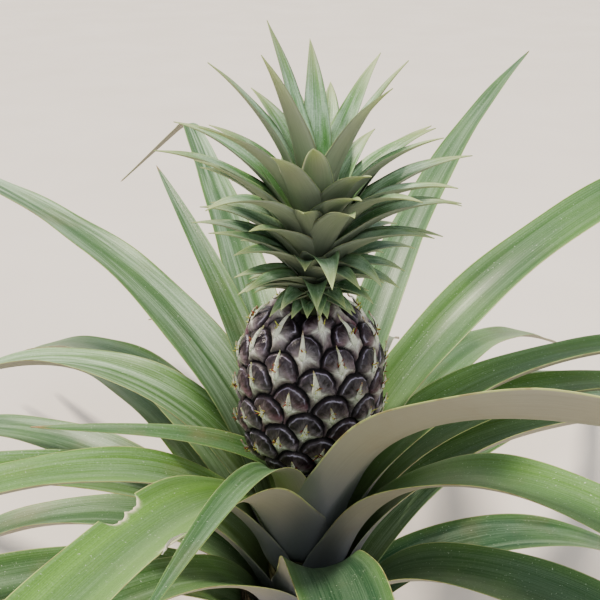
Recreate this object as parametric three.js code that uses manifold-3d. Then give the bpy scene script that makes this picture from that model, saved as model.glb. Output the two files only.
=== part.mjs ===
// A pineapple plant in fruit: a short stem, a rosette of long, stiff, channelled leaves,
// a fruit on its stalk, and the crown of leaves that grows out of the fruit.
// Millimetres and degrees. X is to the right, Y away from the viewer and Z up.
// The origin is the middle of the flat cut under the stem, at ground level.
import * as THREE from "three";
import { mergeVertices } from "three/addons/utils/BufferGeometryUtils.js";
import Module from "manifold-3d";

const wasm = await Module();
wasm.setup();

// Driving dimensions
const GAP = 0.3; // clear space between a piece and what carries it
const GOLDEN_TURN = 137.508; // from one eye or crown leaf to the next
const LEAN = 1.4; // of the stalk, fruit and crown, to the right

const STEM = { foot: 48, flare: 30, lower: 43, upper: 30, shoulder: 240, top: 243, sides: 24 };
const STALK = { radius: 13, swell: 6, bottom: 243.9, top: 290, sides: 16 };
const FRUIT = {
  bottom: STALK.top + GAP,
  height: 150,
  radius: 56.5,
  fullness: 3, // how late the barrel draws in towards its ends
  roundness: 2.2,
  eyes: 88,
  firstTurn: 28,
  sides: 12,
  rings: 6,
  seatDepth: 20, // of the tools that cut it flat where it sits on the stalk and carries the crown
};
const EYE = { radius: 14.2, top: 6.4, rise: 3.8, sunk: 5 };
const BRACT = { radius: 9, length: 22, flat: 0.6, low: 3.5, lift: 1.5, stand: 30 };
const CROWN = {
  bottom: FRUIT.bottom + FRUIT.height + GAP,
  leaves: 54,
  firstTurn: 61.6,
  crowding: 1.7, // how much closer the lower leaves stand
  core: { foot: 19, tip: 5, height: 46, column: 17, sides: 12 },
  margin: 3, // of the core that is bare at its top and foot
  // At these shares of the way from the lowest leaf to the innermost one
  shares: [0, 0.25, 0.5, 0.75, 0.88, 1],
  rise: [30, 48, 60, 68, 78, 86],
  droop: [66, 66, 60, 54, 46, 28],
  long: [36, 92, 132, 152, 158, 158],
  wide: [19, 25, 28, 28, 26, 22],
  // Along one leaf
  stations: [0, 0.36, 0.7, 1],
  taper: [0.7, 1, 0.66, 0],
  curl: 1.5,
  channel: 0.3, // how high its margins stand, as a share of half the width
  thick: 2.6,
  thinning: 0.6,
};

// How a rosette leaf is shaped along its length, shares of it being 0 at the stem and 1 at the tip
const LEAF = {
  thick: 0.0106, // at the root, as a share of the length
  thinning: 0.72, // how much of that is lost at the tip
  gutter: { blade: 34, tip: 24, reach: 0.12 }, // half angle of the arc, past where it clasps the stem
  waist: { depth: 0.24, reach: 0.07 }, // narrower at the root
  belly: { rise: 0.08, end: 0.6 }, // a little wider about a third of the way along
  taper: { late: 2.2, blunt: 0.85 },
  twist: { end: 0.4, ease: 1.5 }, // the share at which a roll is complete
  // Corners of a section: the place from margin to margin, and the share of the thickness above the arc
  section: [[-1, 0], [-0.55, -0.4], [0, -0.5], [0.55, -0.4], [1, 0], [0, 0.5]],
  clasp: 0.85, // the most of a half circle that a root takes round the stem, as a sine
  stations: 11,
  tip: 0.965, // the last full section, before the point
  steps: 80, // short steps that the line of the leaf is added up from
  divided: 84, // the turn in degrees from which a leaf is two pieces
  divide: 0.3, // the share at which it is divided, unless it is folded
  crease: 0.05, // how much of the length a fold takes
};

// The rosette, from the top down. Side is the bearing seen from above, 0 to the right and 90
// away from the viewer; seat is the height on the stem; rise the slope there; droop the turn
// from there to the tip; bend how early that turn comes; sway a turn sideways; roll a twist.
const ROSETTE = {
  left_short: { side: 185, seat: 260, rise: 65, droop: 62, bend: 3.2, long: 236, wide: 28, sway: -3 },
  front_short: { side: 257, seat: 239, rise: 80, droop: 74, bend: 1.6, long: 370, wide: 30, sway: -3 },
  back_left_short: { side: 120, seat: 238, rise: 67, droop: 47, bend: 2.1, long: 392, wide: 34, sway: -3 },
  right_high: { side: 28, seat: 233, rise: 70, droop: 70, bend: 2.5, long: 890, wide: 58 },
  right_front: {
    side: -66, seat: 228, rise: 76.5, droop: 99, bend: 1.45, long: 893, wide: 56,
    sway: 30, roll: 34,
  },
  left_high: {
    side: 136, seat: 216, rise: 75, droop: 75, bend: 3.8, long: 805, wide: 59,
    sway: -1, roll: -9,
  },
  back_right: {
    side: 66, seat: 212, rise: 56, droop: 43, bend: 1.8, long: 700, wide: 50,
    sway: -9, roll: 10,
  },
  front_left: {
    side: 247, seat: 203, rise: 79, droop: 90, bend: 2.2, long: 738, wide: 67,
    sway: 2, roll: -8, bite: { at: 0.38, radius: 10 },
  },
  right_mid_c: {
    side: 15, seat: 200, rise: 81, droop: 95, bend: 2.9, long: 690, wide: 55,
    sway: -10, roll: 18,
  },
  left_mid: {
    side: 152, seat: 196, rise: 79, droop: 121, bend: 2.6, long: 720, wide: 57,
    sway: 18, roll: -12,
  },
  back_left: {
    side: 106, seat: 184, rise: 72, droop: 64, bend: 3.6, long: 777, wide: 54,
    roll: -6, fold: { at: 0.79, drop: 49, turn: 63 },
  },
  right_low_a: {
    side: -41, seat: 182.5, rise: 80, droop: 101.6, bend: 1.4, long: 613, wide: 58,
    sway: -29,
  },
  left_low_b: {
    side: 204, seat: 182, rise: 83.5, droop: 114, bend: 2.15, long: 650, wide: 54,
    sway: 5, roll: -9,
  },
  right_mid_b: {
    side: 14, seat: 178, rise: 81, droop: 106, bend: 2.4, long: 645, wide: 56,
    sway: -13, roll: 8,
  },
  rear_high: { side: 86, seat: 158, rise: 68, droop: 84, bend: 2.6, long: 750, wide: 57 },
  right_mid_a: {
    side: 7, seat: 156, rise: 81, droop: 96, bend: 2.8, long: 690, wide: 56,
    sway: -13, roll: 22,
  },
  left_low_a: {
    side: 189.5, seat: 147, rise: 77, droop: 108, bend: 1.9, long: 690, wide: 56,
    sway: 22, roll: -4,
  },
  rear_left: { side: 132.5, seat: 145.5, rise: 60, droop: 92, bend: 2.6, long: 760, wide: 56 },
  front_down: { side: -84, seat: 145, rise: 75, droop: 76.6, bend: 1.8, long: 674, wide: 64, sway: -3 },
  rear_right: { side: 54, seat: 138, rise: 58, droop: 88, bend: 2.6, long: 760, wide: 56 },
  rear_mid: { side: 112, seat: 126, rise: 58, droop: 86, bend: 2.6, long: 740, wide: 56 },
  left_low_d: {
    side: 233, seat: 125, rise: 75, droop: 85, bend: 2.2, long: 690, wide: 58,
    sway: -2, roll: -5,
  },
  left_low_c: {
    side: 176, seat: 122, rise: 72.5, droop: 114, bend: 2.6, long: 600, wide: 60,
    sway: 16, roll: -16,
  },
  rear_side: { side: 34, seat: 114, rise: 58, droop: 88, bend: 2.6, long: 750, wide: 56 },
  right_low_b: { side: -42, seat: 110, rise: 78, droop: 93.2, bend: 1.9, long: 670, wide: 58, sway: -16 },
  left_back_low: { side: 152, seat: 104, rise: 56, droop: 84, bend: 2.6, long: 730, wide: 57 },
  rear_mid_right: { side: 76, seat: 100, rise: 54, droop: 84, bend: 2.6, long: 740, wide: 56 },
  left_low_e: { side: 198, seat: 98, rise: 66, droop: 86, bend: 2.6, long: 686, wide: 56, sway: 4 },
  front_low: { side: -92, seat: 92, rise: 60, droop: 84, bend: 2.8, long: 640, wide: 58 },
  right_low_c: { side: 8, seat: 88, rise: 66, droop: 106, bend: 2, long: 440, wide: 56, sway: 10 },
  rear_low: { side: 128, seat: 84, rise: 54, droop: 78, bend: 2.6, long: 720, wide: 56 },
  rear_low_right: { side: 50, seat: 78, rise: 54, droop: 78, bend: 2.6, long: 700, wide: 56 },
};

const radians = THREE.MathUtils.degToRad;
const mix = THREE.MathUtils.lerp;
const clamp = THREE.MathUtils.clamp;
const UP = new THREE.Vector3(0, 0, 1);

// A closed skin over rings of points: a flat cap on the first ring, and a cap or a point at the end.
function loft(rings, point) {
  const count = rings[0].length;
  const points = rings.flat();
  const faces = [];
  for (let ring = 0; ring + 1 < rings.length; ring++) {
    for (let i = 0; i < count; i++) {
      const a = ring * count + i;
      const b = ring * count + ((i + 1) % count);
      faces.push(a, b + count, b, a, a + count, b + count);
    }
  }
  const middle = (ring) => ring.reduce((sum, p) => sum.add(p), new THREE.Vector3()).divideScalar(count);
  const last = (rings.length - 1) * count;
  const start = points.push(middle(rings[0])) - 1;
  const end = points.push(point ?? middle(rings.at(-1))) - 1;
  for (let i = 0; i < count; i++) {
    const next = (i + 1) % count;
    faces.push(start, i, next);
    faces.push(end, last + next, last + i);
  }
  const geometry = new THREE.BufferGeometry().setFromPoints(points);
  geometry.setIndex(faces);
  return geometry;
}

// A three.js geometry as a manifold solid
function solid(geometry) {
  const bare = geometry.clone();
  bare.deleteAttribute("normal");
  bare.deleteAttribute("uv");
  const merged = mergeVertices(bare, 1e-4);
  return new wasm.Manifold(
    new wasm.Mesh({
      numProp: 3,
      vertProperties: merged.attributes.position.array,
      triVerts: new Uint32Array(merged.index.array),
    }),
  );
}

// A manifold solid as a three.js geometry
function shell(body) {
  const mesh = body.getMesh();
  const geometry = new THREE.BufferGeometry();
  geometry.setAttribute("position", new THREE.BufferAttribute(mesh.vertProperties, 3));
  geometry.setIndex(new THREE.BufferAttribute(mesh.triVerts, 1));
  return geometry;
}

// The largest body of a solid, without loose splinters, its surface tidied within a tolerance
function whole(body) {
  const tolerance = 0.4;
  const bodies = body.simplify(tolerance).decompose();
  return bodies.sort((a, b) => b.volume() - a.volume())[0];
}

// A profile of [radius, height] turned about the upright axis
function turned(profile, sides) {
  const points = profile.map(([radius, height]) => new THREE.Vector2(radius, height));
  return new THREE.LatheGeometry(points, sides).rotateX(Math.PI / 2);
}

// A value of the crown's leaves at a share of the way from the lowest to the innermost
function along(knots, share) {
  const { shares } = CROWN;
  const after = Math.max(1, shares.findIndex((at) => at >= share));
  const part = (share - shares[after - 1]) / (shares[after] - shares[after - 1]);
  return mix(knots[after - 1], knots[after], part);
}

function part(name, geometry, colour, roughness) {
  const material = new THREE.MeshStandardMaterial({ color: colour, roughness, metalness: 0 });
  const mesh = new THREE.Mesh(geometry, material);
  mesh.geometry.computeVertexNormals();
  mesh.name = name;
  return mesh;
}

// Stem: stout, tapering upwards from a flared foot on its flat cut
function stemRadius(height) {
  const share = clamp((height - STEM.flare) / (STEM.shoulder - STEM.flare), 0, 1);
  const taper = mix(STEM.lower, STEM.upper, share);
  const flare = (STEM.foot - STEM.lower) * clamp(1 - height / STEM.flare, 0, 1) ** 2;
  return taper + flare;
}

function stem() {
  const profile = [[0, 0]];
  for (const height of [0, 8, 18, STEM.flare, 80, 130, 180, STEM.shoulder]) {
    profile.push([stemRadius(height), height]);
  }
  profile.push([STALK.radius + 4, STEM.top], [0, STEM.top]);
  return part("stem", turned(profile, STEM.sides), 0x7b7a52, 0.85);
}

// Stalk: a plain round column that swells where the fruit sits on it
function stalkRadius(height) {
  const share = clamp((height - STALK.bottom) / (STALK.top - STALK.bottom), 0, 1);
  return STALK.radius + STALK.swell * share ** 2;
}

function stalk() {
  const profile = [[0, STALK.bottom]];
  for (const share of [0, 0.35, 0.6, 0.8, 1]) {
    const height = mix(STALK.bottom, STALK.top, share);
    profile.push([stalkRadius(height), height]);
  }
  profile.push([0, STALK.top]);
  return part("fruit_stalk", turned(profile, STALK.sides), 0x8f9a62, 0.7);
}

// Fruit: a barrel, with one eye for each equal share of its skin, a golden turn apart
function barrelRadius(share) {
  const drawn = Math.abs(2 * share - 1) ** FRUIT.fullness;
  return FRUIT.radius * Math.max(0, 1 - drawn) ** (1 / FRUIT.roundness);
}

function eyeHeights() {
  const slices = 400;
  const area = [0];
  for (let i = 0; i < slices; i++) {
    const [below, above] = [barrelRadius(i / slices), barrelRadius((i + 1) / slices)];
    const slant = Math.hypot(above - below, FRUIT.height / slices);
    area.push(area[i] + slant * (below + above));
  }
  const heights = [];
  let slice = 0;
  for (let eye = 0; eye < FRUIT.eyes; eye++) {
    const target = (area[slices] * (eye + 0.5)) / FRUIT.eyes;
    while (area[slice + 1] < target) slice++;
    heights.push((slice + (target - area[slice]) / (area[slice + 1] - area[slice])) / slices);
  }
  return heights;
}

function eyeSolids(share, turn) {
  const step = 0.01;
  const low = clamp(share - step, 0, 1);
  const high = clamp(share + step, 0, 1);
  const slope = Math.atan2(barrelRadius(low) - barrelRadius(high), (high - low) * FRUIT.height);
  const around = new THREE.Vector3(-Math.sin(turn), Math.cos(turn), 0);
  const level = new THREE.Vector3(Math.cos(turn), Math.sin(turn), 0);
  const outward = level.clone().multiplyScalar(Math.cos(slope)).addScaledVector(UP, Math.sin(slope));
  const upward = new THREE.Vector3().crossVectors(outward, around);
  const centre = level.clone().multiplyScalar(barrelRadius(share));
  centre.z = FRUIT.bottom + share * FRUIT.height;

  const eye = new THREE.CylinderGeometry(EYE.top, EYE.radius, EYE.rise + EYE.sunk, 6);
  eye.translate(0, (EYE.rise - EYE.sunk) / 2, 0);
  const place = new THREE.Matrix4().makeBasis(around, outward, upward.clone().negate()).setPosition(centre);
  eye.applyMatrix4(place);

  // The bract lies on the lower half of the eye and stands off at its tip
  const bract = new THREE.ConeGeometry(BRACT.radius, BRACT.length, 3).scale(1, 1, BRACT.flat);
  bract.translate(0, BRACT.length / 4, 0);
  const stand = radians(BRACT.stand);
  const tip = upward.clone().multiplyScalar(Math.cos(stand)).addScaledVector(outward, Math.sin(stand));
  const away = new THREE.Vector3().crossVectors(around, tip);
  const foot = centre.clone().addScaledVector(outward, BRACT.lift).addScaledVector(upward, -BRACT.low);
  bract.applyMatrix4(new THREE.Matrix4().makeBasis(around, tip, away).setPosition(foot));
  return [solid(eye), solid(bract)];
}

function fruit() {
  const profile = [];
  for (let ring = 0; ring <= FRUIT.rings; ring++) {
    const share = (1 - Math.cos((Math.PI * ring) / FRUIT.rings)) / 2;
    profile.push([barrelRadius(share), FRUIT.bottom + share * FRUIT.height]);
  }
  const bodies = [solid(turned(profile, FRUIT.sides))];
  eyeHeights().forEach((share, eye) => {
    bodies.push(...eyeSolids(share, radians(FRUIT.firstTurn + eye * GOLDEN_TURN)));
  });
  // Flat seats for the stalk below and the crown above
  const seat = (bottom) => {
    const disc = new THREE.CylinderGeometry(CROWN.core.foot + 4, CROWN.core.foot + 4, FRUIT.seatDepth, 24);
    return solid(disc.rotateX(Math.PI / 2).translate(0, 0, bottom + FRUIT.seatDepth / 2));
  };
  const body = wasm.Manifold.union(bodies)
    .subtract(seat(FRUIT.bottom - FRUIT.seatDepth))
    .subtract(seat(FRUIT.bottom + FRUIT.height));
  return part("fruit", shell(whole(body)), 0x77706c, 0.6);
}

// Crown: short leaves that curl down at its foot, and longer, steeper ones towards the heart
function crownLeaf(index) {
  const share = (index / (CROWN.leaves - 1)) ** CROWN.crowding;
  const turn = radians(CROWN.firstTurn + index * GOLDEN_TURN);
  const long = along(CROWN.long, share);
  const level = new THREE.Vector3(Math.cos(turn), Math.sin(turn), 0);
  const across = new THREE.Vector3(Math.sin(turn), -Math.cos(turn), 0);
  const height = mix(CROWN.margin, CROWN.core.height - CROWN.margin, share);
  const place = new THREE.Vector3(0, 0, CROWN.bottom + height);
  const steps = 4;
  const rings = [];
  CROWN.stations.forEach((station, i) => {
    const from = i ? CROWN.stations[i - 1] : 0;
    let tilt = 0;
    for (let step = 0; step < steps; step++) {
      const s = mix(from, station, (step + 0.5) / steps);
      tilt = radians(along(CROWN.rise, share) - along(CROWN.droop, share) * s ** CROWN.curl);
      const stride = (long * (station - from)) / steps;
      place.addScaledVector(level, Math.cos(tilt) * stride).addScaledVector(UP, Math.sin(tilt) * stride);
    }
    const over = level.clone().multiplyScalar(-Math.sin(tilt)).addScaledVector(UP, Math.cos(tilt));
    const half = (along(CROWN.wide, share) * CROWN.taper[i]) / 2;
    const thick = (CROWN.thick * (1 - station * CROWN.thinning)) / 2;
    const margin = half * CROWN.channel;
    const point = (side, lift) => place.clone().addScaledVector(across, side).addScaledVector(over, lift);
    rings.push([point(-half, margin), point(0, -thick), point(half, margin), point(0, thick)]);
  });
  const tip = rings.pop()[0];
  return solid(loft(rings, tip));
}

function crown() {
  const { foot, tip, height, column, sides } = CROWN.core;
  const profile = [
    [0, CROWN.bottom],
    [foot, CROWN.bottom],
    [foot, CROWN.bottom + column],
    [tip, CROWN.bottom + height],
    [0, CROWN.bottom + height],
  ];
  const bodies = [solid(turned(profile, sides))];
  for (let index = 0; index < CROWN.leaves; index++) bodies.push(crownLeaf(index));
  return part("crown", shell(whole(wasm.Manifold.union(bodies))), 0x7f9c68, 0.5);
}

// Rosette leaves: bearing and slope at a share of the length, past the crease of a folded leaf too
function leafAim(leaf, share) {
  const fold = leaf.fold ?? { at: 1, drop: 0, turn: 0 };
  const folded = THREE.MathUtils.smoothstep(share, fold.at, fold.at + LEAF.crease);
  const tilt = leaf.rise - leaf.droop * (1 - (1 - share) ** leaf.bend) - fold.drop * folded;
  const side = leaf.side + (leaf.sway ?? 0) * share + fold.turn * folded;
  return { tilt: radians(tilt), side: radians(side) };
}

function leafHeading(leaf, share) {
  const { tilt, side } = leafAim(leaf, share);
  const level = Math.cos(tilt);
  return new THREE.Vector3(level * Math.cos(side), level * Math.sin(side), Math.sin(tilt));
}

function carrierRadius(leaf) {
  return leaf.seat > STEM.top ? stalkRadius(leaf.seat) : stemRadius(leaf.seat);
}

// The points of the leaf's middle line, one at each short step
function leafLine(leaf) {
  const stand = (leaf.long * LEAF.thick * Math.sin(radians(leaf.rise))) / 2;
  const clear = carrierRadius(leaf) + GAP + stand;
  const side = radians(leaf.side);
  const line = [new THREE.Vector3(clear * Math.cos(side), clear * Math.sin(side), leaf.seat)];
  for (let step = 0; step < LEAF.steps; step++) {
    const heading = leafHeading(leaf, (step + 0.5) / LEAF.steps);
    line.push(line[step].clone().addScaledVector(heading, leaf.long / LEAF.steps));
  }
  return line;
}

function leafPlace(line, share) {
  const place = share * LEAF.steps;
  const step = Math.min(Math.floor(place), LEAF.steps - 1);
  return line[step].clone().lerp(line[step + 1], place - step);
}

// Half the width from margin to margin: narrower where it clasps the stem, tapering to the point
function leafHalfWidth(leaf, share) {
  const waist = 1 - LEAF.waist.depth * Math.exp(-((share / LEAF.waist.reach) ** 2));
  const belly = 1 - LEAF.belly.rise * (1 - Math.sin(Math.PI * Math.min(share / LEAF.belly.end, 1)));
  const taper = (1 - share ** LEAF.taper.late) ** LEAF.taper.blunt;
  return (leaf.wide / 2) * waist * belly * taper;
}

// The directions from margin to margin and out of the upper side
function leafFrame(leaf, share) {
  const { side } = leafAim(leaf, share);
  const level = new THREE.Vector3(Math.sin(side), -Math.cos(side), 0);
  const upper = new THREE.Vector3().crossVectors(level, leafHeading(leaf, share));
  const twist = radians(leaf.roll ?? 0) * Math.min(share / LEAF.twist.end, 1) ** LEAF.twist.ease;
  const across = level.clone().multiplyScalar(Math.cos(twist)).addScaledVector(upper, Math.sin(twist));
  const over = upper.multiplyScalar(Math.cos(twist)).addScaledVector(level, -Math.sin(twist));
  return { across, over };
}

// The section across the leaf: a gutter open upwards, thick at its middle and thin at its margins
function leafRing(leaf, line, share) {
  const { across, over } = leafFrame(leaf, share);
  const half = leafHalfWidth(leaf, share);
  const thick = leaf.long * LEAF.thick * (1 - LEAF.thinning * share);
  const clasp = Math.asin(Math.min(half / (carrierRadius(leaf) + thick), LEAF.clasp));
  const open = radians(mix(LEAF.gutter.blade, LEAF.gutter.tip, share));
  const gutter = mix(open, clasp, Math.exp(-((share / LEAF.gutter.reach) ** 2)));
  const bow = half / Math.sin(gutter);
  const place = leafPlace(line, share);
  const point = (u, offset) => {
    const height = bow * (1 - Math.cos(gutter * u)) + offset * thick;
    return place.clone().addScaledVector(across, bow * Math.sin(gutter * u)).addScaledVector(over, height);
  };
  return LEAF.section.map(([u, offset]) => point(u, offset));
}

function leafPiece(leaf, line, from, to, pointed) {
  const count = Math.max(4, Math.round(LEAF.stations * (to - from)) + 1);
  const rings = [];
  for (let i = 0; i < count; i++) rings.push(leafRing(leaf, line, mix(from, to, i / (count - 1))));
  const geometry = loft(rings, pointed ? line.at(-1) : undefined);
  const bitten = leaf.bite && leaf.bite.at > from && leaf.bite.at < to;
  return bitten ? shell(whole(solid(geometry).subtract(biteSolid(leaf, line)))) : geometry;
}

// What was bitten out of a margin
function biteSolid(leaf, line) {
  const { at, radius } = leaf.bite;
  const { across, over } = leafFrame(leaf, at);
  const ahead = new THREE.Vector3().crossVectors(over, across);
  const centre = leafPlace(line, at).addScaledVector(across, leafHalfWidth(leaf, at));
  const round = new THREE.CylinderGeometry(radius, radius, leaf.wide, 8);
  round.applyMatrix4(new THREE.Matrix4().makeBasis(across, over, ahead.negate()).setPosition(centre));
  return solid(round);
}

function rosetteLeaf(name, leaf) {
  const line = leafLine(leaf);
  const colour = 0x6f9159;
  if (leaf.droop < LEAF.divided && !leaf.fold) {
    return [part(`leaf_${name}`, leafPiece(leaf, line, 0, LEAF.tip, true), colour, 0.5)];
  }
  const divide = leaf.fold?.at ?? LEAF.divide;
  const gap = GAP / leaf.long;
  return [
    part(`leaf_${name}_base`, leafPiece(leaf, line, 0, divide, false), colour, 0.5),
    part(`leaf_${name}_blade`, leafPiece(leaf, line, divide + gap, LEAF.tip, true), colour, 0.5),
  ];
}

// The plant. What stands on the stem's top leans to the right about it.
const plant = new THREE.Group();
const leaning = new THREE.Group();
leaning.position.z = STEM.top;
leaning.rotation.y = radians(LEAN);
plant.add(stem(), leaning);

const carried = [stalk(), fruit(), crown()];
for (const [name, leaf] of Object.entries(ROSETTE)) {
  const pieces = rosetteLeaf(name, leaf);
  if (leaf.seat > STEM.top) carried.push(...pieces);
  else plant.add(...pieces);
}
for (const piece of carried) {
  piece.position.z = -STEM.top;
  leaning.add(piece);
}

export default plant;
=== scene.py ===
import math

import bpy
import numpy as np
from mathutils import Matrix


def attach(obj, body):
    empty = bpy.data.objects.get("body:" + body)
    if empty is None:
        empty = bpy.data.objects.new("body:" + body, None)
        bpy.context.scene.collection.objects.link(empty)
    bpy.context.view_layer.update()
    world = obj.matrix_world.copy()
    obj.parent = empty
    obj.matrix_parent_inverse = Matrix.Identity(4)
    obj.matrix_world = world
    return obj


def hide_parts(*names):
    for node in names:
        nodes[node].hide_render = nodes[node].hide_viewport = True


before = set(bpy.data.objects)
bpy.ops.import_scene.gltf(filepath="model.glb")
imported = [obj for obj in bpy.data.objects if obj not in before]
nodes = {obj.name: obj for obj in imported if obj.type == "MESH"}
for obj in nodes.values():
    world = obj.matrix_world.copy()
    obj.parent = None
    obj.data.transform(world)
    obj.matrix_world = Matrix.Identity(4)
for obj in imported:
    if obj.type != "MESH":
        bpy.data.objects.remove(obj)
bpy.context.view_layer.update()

# Camera
# It stands close in front of the plant at chest height and looks 27 degrees down at the fruit,
# so that the leaf tips run out of its view.
camera_data = bpy.data.cameras.new("camera")
camera_data.lens = 48
camera_data.sensor_width = 36
camera = bpy.data.objects.new("camera", camera_data)
camera.location = (-0.005, -0.553, 0.725)
camera.rotation_euler = (math.radians(63), 0, 0)
bpy.context.scene.collection.objects.link(camera)
bpy.context.scene.camera = camera


# Studio floor and light
# A plain pale floor, a soft key from the upper left and behind, as the sun comes on such a bed,
# and a wide weak fill from the front.
def paint(colour):
    """A colour written as #rrggbb, as the linear values that a shader takes."""
    parts = [int(colour[i:i + 2], 16) / 255 for i in (1, 3, 5)]
    return [c / 12.92 if c <= 0.04045 else ((c + 0.055) / 1.055) ** 2.4 for c in parts] + [1.0]


def put(tree, kind, values=None, **settings):
    """Adds a shader node, sets its properties, and sets or links the inputs that are named."""
    made = tree.nodes.new("ShaderNode" + kind)
    for name, value in settings.items():
        setattr(made, name, value)
    for name, value in (values or {}).items():
        if isinstance(value, bpy.types.NodeSocket):
            tree.links.new(value, made.inputs[name])
        else:
            made.inputs[name].default_value = value
    return made


def maths(tree, operation, *values):
    """One step of arithmetic on sockets and numbers."""
    return put(tree, "Math", dict(enumerate(values)), operation=operation).outputs[0]


def times(tree, first, second):
    """The product of two values."""
    return maths(tree, "MULTIPLY", first, second)


def plus(tree, first, second):
    """The sum of two values."""
    return maths(tree, "ADD", first, second)


def minus(tree, first, second):
    """The first value less the second."""
    return maths(tree, "SUBTRACT", first, second)


def noise(tree, place, scale, detail=2.0, roughness=0.5):
    """Soft noise from 0 to 1 at a place."""
    values = {"Vector": place, "Scale": scale, "Detail": detail, "Roughness": roughness}
    return put(tree, "TexNoise", values).outputs["Fac"]


def spread(tree, value, low, high, bottom=0.0, top=1.0):
    """A value that lies between low and high, stretched smoothly to run from bottom to top."""
    values = {"Value": value, "From Min": low, "From Max": high, "To Min": bottom, "To Max": top}
    return put(tree, "MapRange", values, interpolation_type="SMOOTHSTEP").outputs[0]


def blend(tree, mask, *colours):
    """Two colours, the second laid over the first where the mask is 1. Each is a socket or a
    colour written as #rrggbb."""
    under, over = [paint(colour) if isinstance(colour, str) else colour for colour in colours]
    return put(tree, "Mix", {0: mask, 6: under, 7: over}, data_type="RGBA").outputs[2]


def combine(tree, x, y, z):
    """A place from its three parts."""
    return put(tree, "CombineXYZ", {0: x, 1: y, 2: z}).outputs[0]


def place_of(tree):
    """The place on the piece, in metres."""
    return put(tree, "TexCoord").outputs["Object"]


def three_of(tree, label):
    """The three values that a mesh keeps under a label, as sockets."""
    kept = put(tree, "Attribute", attribute_name=label).outputs["Vector"]
    return put(tree, "SeparateXYZ", {0: kept}).outputs


def one_of(tree, label):
    """The one value that a mesh keeps under a label."""
    return put(tree, "Attribute", attribute_name=label).outputs["Fac"]


def finish_material(name, roughness=0.5, specular=0.5):
    """A new material, its node tree and its Principled shader."""
    material = bpy.data.materials.new(name)
    material.use_nodes = True
    tree = material.node_tree
    shader = tree.nodes["Principled BSDF"]
    shader.inputs["Roughness"].default_value = roughness
    shader.inputs["Specular IOR Level"].default_value = specular
    return material, tree, shader


def link_bump(tree, shader, height, distance, strength=1.0):
    """Lets a height, in metres of distance, tilt the shading of a material."""
    values = {"Height": height, "Distance": distance, "Strength": strength}
    tree.links.new(put(tree, "Bump", values).outputs[0], shader.inputs["Normal"])


floor_half = 60.0
corners = [(x * floor_half, y * floor_half, 0) for x, y in ((-1, -1), (1, -1), (1, 1), (-1, 1))]
floor_mesh = bpy.data.meshes.new("studio_floor")
floor_mesh.from_pydata(corners, [], [(0, 1, 2, 3)])
floor = bpy.data.objects.new("studio_floor", floor_mesh)
bpy.context.scene.collection.objects.link(floor)
floor_paint, tree, shader = finish_material("studio_floor", roughness=0.9, specular=0.2)
tone = blend(tree, noise(tree, place_of(tree), 3.0), "#ded5cd", "#e8e1da")
tree.links.new(tone, shader.inputs["Base Color"])
floor_mesh.materials.append(floor_paint)

world = bpy.data.worlds.new("studio")
world.use_nodes = True
sky = world.node_tree.nodes["Background"]
sky.inputs["Color"].default_value = paint("#e3e9ee")
sky.inputs["Strength"].default_value = 0.7
bpy.context.scene.world = world
bpy.context.scene.view_settings.look = "AgX - Medium High Contrast"

key = bpy.data.lights.new("key", "SUN")
key.energy = 3.9
key.angle = math.radians(11)
key.color = paint("#fff4e4")[:3]
fill = bpy.data.lights.new("fill", "AREA")
fill.energy = 34
fill.size = 2.4
lamps = [(key, (-1.5, 0.9, 2.5), (-17, -31, 0)), (fill, (0.9, -2.2, 1.9), (50, 0, 22))]
for lamp, stand, turned in lamps:
    lamp_object = bpy.data.objects.new(lamp.name, lamp)
    lamp_object.location = stand
    lamp_object.rotation_euler = [math.radians(angle) for angle in turned]
    bpy.context.scene.collection.objects.link(lamp_object)


# Stem
# A short woody column, hidden among the leaf bases: it flares to the flat cut at ground level
# and is ringed by the scars of the leaves that it has shed. All lengths below are millimetres.
foot_radius, lower_radius, upper_radius = 48, 43, 30
flare_height, shoulder, stem_top = 30, 240, 243
scar_step, scar_depth, scar_width = 8.5, 1.1, 0.13
stem_rings, stem_sides, cut_share = 150, 72, 0.94


def join(parts):
    """Several (points, faces, grain) as one, the faces counted on from the points before them."""
    points = np.concatenate([part[0] for part in parts])
    grain = np.concatenate([part[2] for part in parts])
    faces, first = [], 0
    for some, polygons, _ in parts:
        faces += [[first + corner for corner in face] for face in polygons]
        first += len(some)
    return points, faces, grain


def piece(name, shape, material, replaces=(), looks=None):
    """A mesh from points in millimetres, faces, and one grain vector for each corner of a face,
    with any other attributes of its points, riding on the plant's one body."""
    points, faces, grain = shape
    mesh = bpy.data.meshes.new(name)
    mesh.from_pydata((points * 0.001).tolist(), [], faces)
    mesh.attributes.new("grain", "FLOAT_VECTOR", "CORNER").data.foreach_set(
        "vector", np.asarray(grain, np.float32).ravel())
    for label, values in (looks or {}).items():
        kind, key = ("FLOAT_VECTOR", "vector") if np.ndim(values) == 2 else ("FLOAT", "value")
        mesh.attributes.new(label, kind, "POINT").data.foreach_set(
            key, np.asarray(values, np.float32).ravel())
    mesh.polygons.foreach_set("use_smooth", [True] * len(mesh.polygons))
    mesh.materials.append(material)
    made = bpy.data.objects.new(name, mesh)
    bpy.context.scene.collection.objects.link(made)
    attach(made, "root")
    if replaces:
        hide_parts(*replaces)


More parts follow.
